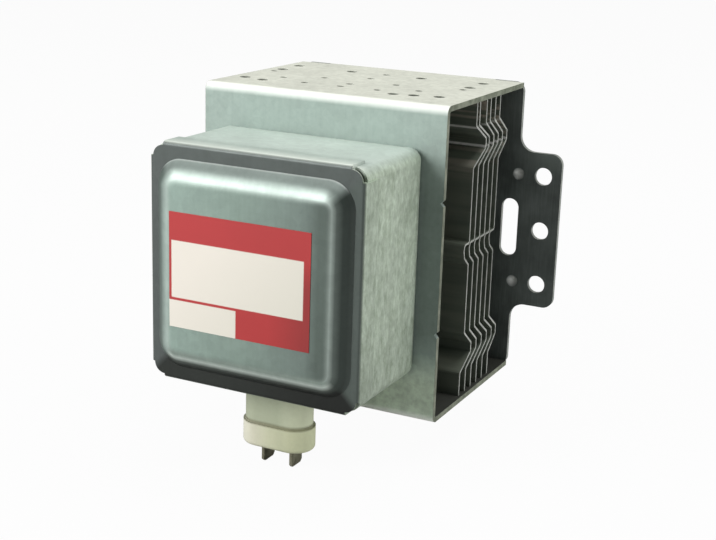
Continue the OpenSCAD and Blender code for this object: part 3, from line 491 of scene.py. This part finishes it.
def lid_front_painted_light(tree, x, y, z):
    """Painted light of the lid's front: shade in the flange and flanks, highlights on the foot and shoulder,
    and a panel painted darker to the right as a reflection.
    """
    lift = math_node(tree, "SUBTRACT", z, BOX_LIFT * MM)
    rise = remap(tree, y, RIM_Y * MM, (RIM_Y - PANEL_RISE) * MM, 0.0, 1.0)
    # Painted shade: the lower flange darkens towards the right.
    low_flange = remap(tree, rise, 0.3, 0.6, 1.0, 0.0)
    shade_from, shade_to = FLANGE_SHADE_X
    low_right_shade = both_of(tree, remap(tree, x, shade_from * MM, shade_to * MM, 0.0, 1.0), low_flange)
    lower = ramp(tree, rise, *LID_LOWER_PAINTED_LIGHT)
    lower = mix(tree, low_right_shade, lower, times(tree, lower, grey(0.5)))
    ends = mix(tree, above(tree, lift, 0.0), lower, ramp(tree, rise, *LID_UPPER_PAINTED_LIGHT))
    sides = mix(tree, above(tree, x, 0.0), ramp(tree, rise, *LID_LEFT_PAINTED_LIGHT), ramp(tree, rise, *LID_RIGHT_PAINTED_LIGHT))
    out_x = math_node(tree, "SUBTRACT", size_of(tree, x), PANEL_HALF_W * MM)
    out_z = math_node(tree, "SUBTRACT", size_of(tree, lift), PANEL_HALF_H * MM)
    at_side = above(tree, math_node(tree, "SUBTRACT", out_x, out_z), 0.0, soft=1.5)
    pressed = mix(tree, at_side, ends, sides)
    across = remap(tree, x, -PANEL_HALF_W * MM, PANEL_HALF_W * MM, 0.0, 1.0)
    return mix(tree, remap(tree, rise, 0.95, 1.0, 0.0, 1.0), pressed, ramp(tree, across, *LID_PANEL_REFLECTION))


def galvanised_lid(name):
    """Zinc-coated lid: front toned with painted shade, highlights and reflection, and a skirt like the box's
    walls.
    """
    material, tree, shader = start_material(name)
    shader.inputs["Metallic"].default_value = 0.5
    x, y, z = axes_of(tree)
    marks = zinc_marks(tree)
    coat = zinc(tree, marks, LID_COAT, blotch=0.05, mottle=0.03)
    front = times(tree, lid_front_painted_light(tree, x, y, z), coat)
    on_skirt = above(tree, y, RIM_Y + 0.45, soft=0.3)
    tree.links.new(mix(tree, on_skirt, front, box_zinc(tree, marks, y, z)), shader.inputs["Base Color"])
    roughen(tree, shader, marks[0], 0.42, 0.52)
    bump(tree, shader, zinc_relief(tree, marks), 0.08, 0.0002)
    return material


def dark_plate(name):
    """Dull dark steel of the mounting plate: painted highlights in the dimples, ear tops painted paler as
    light, and paler cut edges.
    """
    material, tree, shader = start_material(name)
    shader.inputs["Metallic"].default_value = 0.3
    x, y, z = axes_of(tree)
    cloud = noise(tree, place(tree), 70, detail=5, rough=0.6)
    grain = noise(tree, place(tree, (1800, 1800, 120)), 1.0, detail=2)
    face = ramp(tree, shares_of(tree, cloud, 0.7, grain), *PLATE_FACE)
    # Painted highlight: a pale spot in each dimple.
    from_x = math_node(tree, "SUBTRACT", size_of(tree, x), DIMPLE_X * MM)
    from_z = math_node(tree, "SUBTRACT", size_of(tree, z), DIMPLE_Z * MM)
    square_x = math_node(tree, "POWER", from_x, 2.0)
    square_z = math_node(tree, "POWER", from_z, 2.0)
    squares = math_node(tree, "ADD", square_x, square_z)
    in_dimple = remap(tree, squares, 0.0, (DIMPLE_R * MM) ** 2, 1.0, 0.0)
    face = mix(tree, both_of(tree, in_dimple, below(tree, y, DIMPLE_SHOWN_Y)), face, PLATE_DIMPLE_HIGHLIGHT)
    # Painted light: the upper part of each ear is painted paler, as lit from above.
    on_ear = above(tree, size_of(tree, x), EAR_LIGHT_X, soft=4.0)
    face = mix(tree, both_of(tree, on_ear, above(tree, z, EAR_LIGHT_Z, soft=4.0)), face, PLATE_EAR_LIGHT)
    between = both_of(tree, above(tree, y, 0.08 - PLATE_T, soft=0.05), below(tree, y, -0.08, soft=0.05))
    off_dimple = remap(tree, squares, (1.1 * DIMPLE_R * MM) ** 2, (1.3 * DIMPLE_R * MM) ** 2, 0.0, 1.0)
    on_edge = both_of(tree, between, off_dimple)
    tree.links.new(mix(tree, on_edge, face, cut_steel(tree, *PLATE_EDGE_STEEL)), shader.inputs["Base Color"])
    roughen(tree, shader, cloud, 0.40, 0.56)
    bump(tree, shader, grain, 0.1, 0.0002)
    return material


# Other materials

def fin_sheet(name):
    """Aluminium fin: faces painted dark as shade, painted reflections and glints near its top, and bright
    cut side edges.
    """
    material, tree, shader = start_material(name)
    x, _, z = axes_of(tree)
    rolled = noise(tree, place(tree, (20, 260, 260)), 1.0, detail=3)
    streak = noise(tree, place(tree, (8, 90, 520)), 1.0, detail=2)
    pale = both_of(tree, remap(tree, streak, 0.5, 0.66, 0.0, 1.0), above(tree, z, FIN_STREAKS_Z, soft=5.0))
    # Painted shade and reflection: the faces are painted dark, with pale reflected streaks near the top.
    face = mix(tree, pale, ramp(tree, rolled, *FIN_FACE_SHADE), FIN_STREAK_REFLECTION)
    # Painted glints along the fins' upper bends.
    high_bend = band(tree, z, FIN_BEND_HIGH_Z, 0.6)
    low_bend = band(tree, z, FIN_BEND_LOW_Z, 0.5)
    glint = either_of(tree, both_of(tree, high_bend, 0.5), low_bend)
    face = mix(tree, glint, face, FIN_GLINT)
    edge = ramp(tree, noise(tree, place(tree), 500, detail=3), *FIN_EDGE)
    on_edge = above(tree, size_of(tree, x), FIN_HALF_W - EDGE_DEPTH)
    tree.links.new(mix(tree, on_edge, face, edge), shader.inputs["Base Color"])
    plain = remap(tree, on_edge, 0.0, 1.0, 0.4, 0.7)
    tree.links.new(math_node(tree, "SUBTRACT", plain, both_of(tree, glint, 0.4)), shader.inputs["Metallic"])
    shader.inputs["Roughness"].default_value = 0.42
    bump(tree, shader, rolled, 0.06, 0.0001)
    return material


def metal(name, dark, light, roughness, metallic=1.0):
    """Bare metal with soft clouds and fine marks."""
    material, tree, shader = start_material(name)
    shader.inputs["Metallic"].default_value = metallic
    marks = noise(tree, place(tree, (600, 600, 600)), 1.0, detail=3)
    cloud = noise(tree, place(tree), 60, detail=4)
    tone = shares_of(tree, marks, 0.5, cloud)
    tree.links.new(ramp(tree, tone, (0.35, dark), (0.65, light)), shader.inputs["Base Color"])
    roughen(tree, shader, cloud, roughness - 0.08, roughness + 0.08)
    bump(tree, shader, marks, 0.1, 0.0001)
    return material


def matte(name, dark, light, roughness, scale, bump_strength=0.15):
    """A dull, finely grained material such as plastic, ferrite or ceramic."""
    material, tree, shader = start_material(name)
    around = place(tree)
    cloud = noise(tree, around, 50, detail=4)
    grain = noise(tree, around, scale, detail=2)
    tone = shares_of(tree, cloud, 0.6, grain)
    tree.links.new(ramp(tree, tone, (0.35, dark), (0.65, light)), shader.inputs["Base Color"])
    roughen(tree, shader, cloud, roughness - 0.06, roughness + 0.06)
    bump(tree, shader, grain, bump_strength, 0.0001)
    return material


def cream_case(name):
    """Cream moulded case: a greener neck, painted shade in the crease above its thicker end, and painted
    light and shade along its length.
    """
    material, tree, shader = start_material(name)
    x, _, z = axes_of(tree)
    around = place(tree)
    cloud = noise(tree, around, 50, detail=4)
    grain = noise(tree, around, 900, detail=2)
    along = remap(tree, x, -CASE_HALF_L * MM, CASE_HALF_L * MM, 0.0, 1.0)
    on_neck = above(tree, z, CASE_STEP_Z, soft=0.2)
    # Painted light and shade: the tones along the body and neck follow how the rounded case catches the
    # light.
    colour = mix(tree, on_neck, ramp(tree, along, *CASE_BODY_TONE_AND_SHADING), ramp(tree, along, *CASE_NECK_TINT_AND_SHADING))
    colour = times(tree, colour, ramp(tree, shares_of(tree, cloud, 0.6, grain), *CASE_WEAR))
    # Painted shade: a dark line in the crease where the neck meets the thicker end.
    seam_low = above(tree, z, CASE_STEP_Z - 0.7, soft=0.3)
    seam = both_of(tree, seam_low, below(tree, z, CASE_STEP_Z + 0.3, soft=0.4))
    colour = mix(tree, both_of(tree, seam, 0.75), colour, CASE_SEAM_SHADE)
    tree.links.new(colour, shader.inputs["Base Color"])
    roughen(tree, shader, cloud, 0.44, 0.56)
    bump(tree, shader, grain, 0.15, 0.0001)
    return material


def woven(name):
    """Knitted wire of the gasket: two sets of crossing strands."""
    material, tree, shader = start_material(name)
    shader.inputs["Metallic"].default_value = 0.9
    shader.inputs["Roughness"].default_value = 0.42
    strands = []
    for turn in (0.7, -0.7):
        wave = add(tree, "ShaderNodeTexWave", Scale=260.0, Distortion=1.5)
        tree.links.new(place(tree, rotation=(turn, turn, 0.0)), wave.inputs["Vector"])
        strands.append(wave.outputs["Fac"])
    weave = either_of(tree, *strands)
    tree.links.new(ramp(tree, weave, *GASKET_WIRE), shader.inputs["Base Color"])
    bump(tree, shader, weave, 0.6, 0.0004)
    return material


def label_film(name):
    """Satin film with plain fields of red and white, both painted darker towards the lower right as shade.
    """
    material, tree, shader = start_material(name)
    shader.inputs["Roughness"].default_value = 0.42
    x, _, z = axes_of(tree)
    cloud = noise(tree, place(tree), 80, detail=3)
    # Painted shade: the red and white darken along a slant towards the lower right, the red more so in the
    # lower right corner.
    slanting = remap(tree, math_node(tree, "SUBTRACT", x, z), -20 * MM, 30 * MM, 0.0, 1.0)
    lower_right_shade = both_of(tree, above(tree, x, RED_SHADE_X, soft=6.0), below(tree, z, RED_SHADE_Z, soft=4.0))
    red = mix(tree, lower_right_shade, ramp(tree, slanting, *LABEL_RED), LABEL_RED_SHADE)
    red = times(tree, red, ramp(tree, cloud, *LABEL_CLOUDS))
    white = ramp(tree, slanting, *LABEL_WHITE)
    fields = either_of(tree, inside(tree, x, z, *WHITE_PANEL), inside(tree, x, z, *WHITE_BOX))
    tree.links.new(mix(tree, fields, red, white), shader.inputs["Base Color"])
    return material


# Which piece has which material

BY_NODE = {
    "yoke": galvanised_yoke("galvanised_yoke"),
    "filter_box": galvanised_box("galvanised_box"),
    "filter_lid": galvanised_lid("galvanised_lid"),
    "mounting_plate": dark_plate("dark_plate"),
    "label": label_film("label_film"),
    "capacitor_case": cream_case("cream_plastic"),
    "capacitor_inner_case": matte("dark_plastic", linear(52, 52, 50), linear(70, 70, 66), 0.5, 900),
    "terminal_tabs": metal("tinned_tab", linear(104, 102, 84), linear(152, 150, 130), 0.4, 0.8),
    "gasket": woven("woven_gasket"),
    "choke_coils": metal("enamelled_copper", linear(150, 78, 40), linear(186, 104, 58), 0.3, 0.7),
}
BY_SLOT = {
    "fin_aluminium": fin_sheet("fin_aluminium"),
    "ferrite": matte("ferrite", linear(40, 40, 43), linear(60, 60, 63), 0.55, 1200),
    "copper": metal("bare_copper", linear(176, 108, 74), linear(214, 146, 108), 0.32),
    "pole_iron": metal("plated_iron", linear(130, 132, 132), linear(168, 170, 170), 0.4),
    "seal_metal": metal("drawn_metal", linear(160, 160, 156), linear(204, 204, 200), 0.3),
    "cathode_metal": metal("tungsten", linear(88, 88, 92), linear(122, 122, 126), 0.4),
    "alumina": matte("alumina", linear(232, 228, 216), linear(244, 240, 230), 0.5, 1500, 0.05),
}
SLOT_OF = {part["node"]: part["material_slot"] for part in frame["record"]["subparts"]}

for node_name, node in frame["nodes"].items():
    node_material = BY_NODE.get(node_name) or BY_SLOT[SLOT_OF[node_name]]
    for slot in node.material_slots:
        slot.material = node_material


# Floor, light and camera

def make_floor():
    """A wide pale floor just under the tab terminals, which shows white and keeps the part's shadow."""
    half = FLOOR_HALF
    mesh = bpy.data.meshes.new("floor")
    corners = [(-half, -half, 0), (half, -half, 0), (half, half, 0), (-half, half, 0)]
    mesh.from_pydata(corners, [], [(0, 1, 2, 3)])
    floor = bpy.data.objects.new("floor", mesh)
    floor.location.z = cad_box[0][2] - FLOOR_DROP
    bpy.context.collection.objects.link(floor)
    material, tree, shader = start_material("pale_floor")
    shader.inputs["Base Color"].default_value = (*grey(FLOOR_GREY), 1.0)
    shader.inputs["Roughness"].default_value = FLOOR_ROUGHNESS
    path = add(tree, "ShaderNodeLightPath")
    white = add(tree, "ShaderNodeEmission", Strength=1.0)
    blend = add(tree, "ShaderNodeMixShader")
    tree.links.new(both_of(tree, path.outputs["Is Camera Ray"], FLOOR_WHITE_SHARE), blend.inputs["Fac"])
    tree.links.new(shader.outputs["BSDF"], blend.inputs[1])
    tree.links.new(white.outputs["Emission"], blend.inputs[2])
    tree.links.new(blend.outputs["Shader"], tree.nodes["Material Output"].inputs["Surface"])
    mesh.materials.append(material)


def make_world():
    """Even light from all round, shown as white."""
    world = bpy.data.worlds.new("studio")
    bpy.context.scene.world = world
    world.use_nodes = True
    tree = world.node_tree
    background = tree.nodes["Background"]
    background.inputs["Color"].default_value = (*WHITE, 1.0)
    path = add(tree, "ShaderNodeLightPath")
    strength = remap(tree, path.outputs["Is Camera Ray"], 0.0, 1.0, WORLD_LIGHT, WORLD_SHOWN)
    tree.links.new(strength, background.inputs["Strength"])


def make_lamp(name, place_at, size, power):
    """A soft square lamp aimed at the part."""
    light = bpy.data.lights.new(name, "AREA")
    light.shape = "SQUARE"
    light.size = size
    light.energy = power
    lamp = bpy.data.objects.new(name, light)
    lamp.location = place_at
    lamp.rotation_euler = (Vector(LAMP_TARGET) - Vector(place_at)).to_track_quat("-Z", "Y").to_euler()
    bpy.context.collection.objects.link(lamp)


def make_camera():
    """The photograph's view."""
    down, tilt, turn = (math.radians(a) for a in (CAMERA_DOWN, CAMERA_TILT, CAMERA_TURN))
    to_camera = Matrix.Rotation(tilt, 3, "Y") @ Matrix.Rotation(down, 3, "X") @ Matrix.Rotation(turn, 3, "Z")
    right, forward, up = to_camera.row
    data = bpy.data.cameras.new("photo_camera")
    data.sensor_fit = "HORIZONTAL"
    data.sensor_width = SENSOR_WIDTH
    data.lens = FOCAL_PX / IMAGE_WIDTH * data.sensor_width
    data.clip_start = CLIP_START
    camera = bpy.data.objects.new("photo_camera", data)
    spot = Matrix.Translation(Vector(CAMERA_SPOT) * MM)
    camera.matrix_world = spot @ Matrix((right, up, -forward)).transposed().to_4x4()
    bpy.context.collection.objects.link(camera)
    bpy.context.scene.camera = camera


make_floor()
make_world()
for lamp_name, lamp_place, lamp_size, lamp_power in LAMPS:
    make_lamp(lamp_name, lamp_place, lamp_size, lamp_power)
make_camera()

bpy.context.scene.view_settings.view_transform = "Standard"
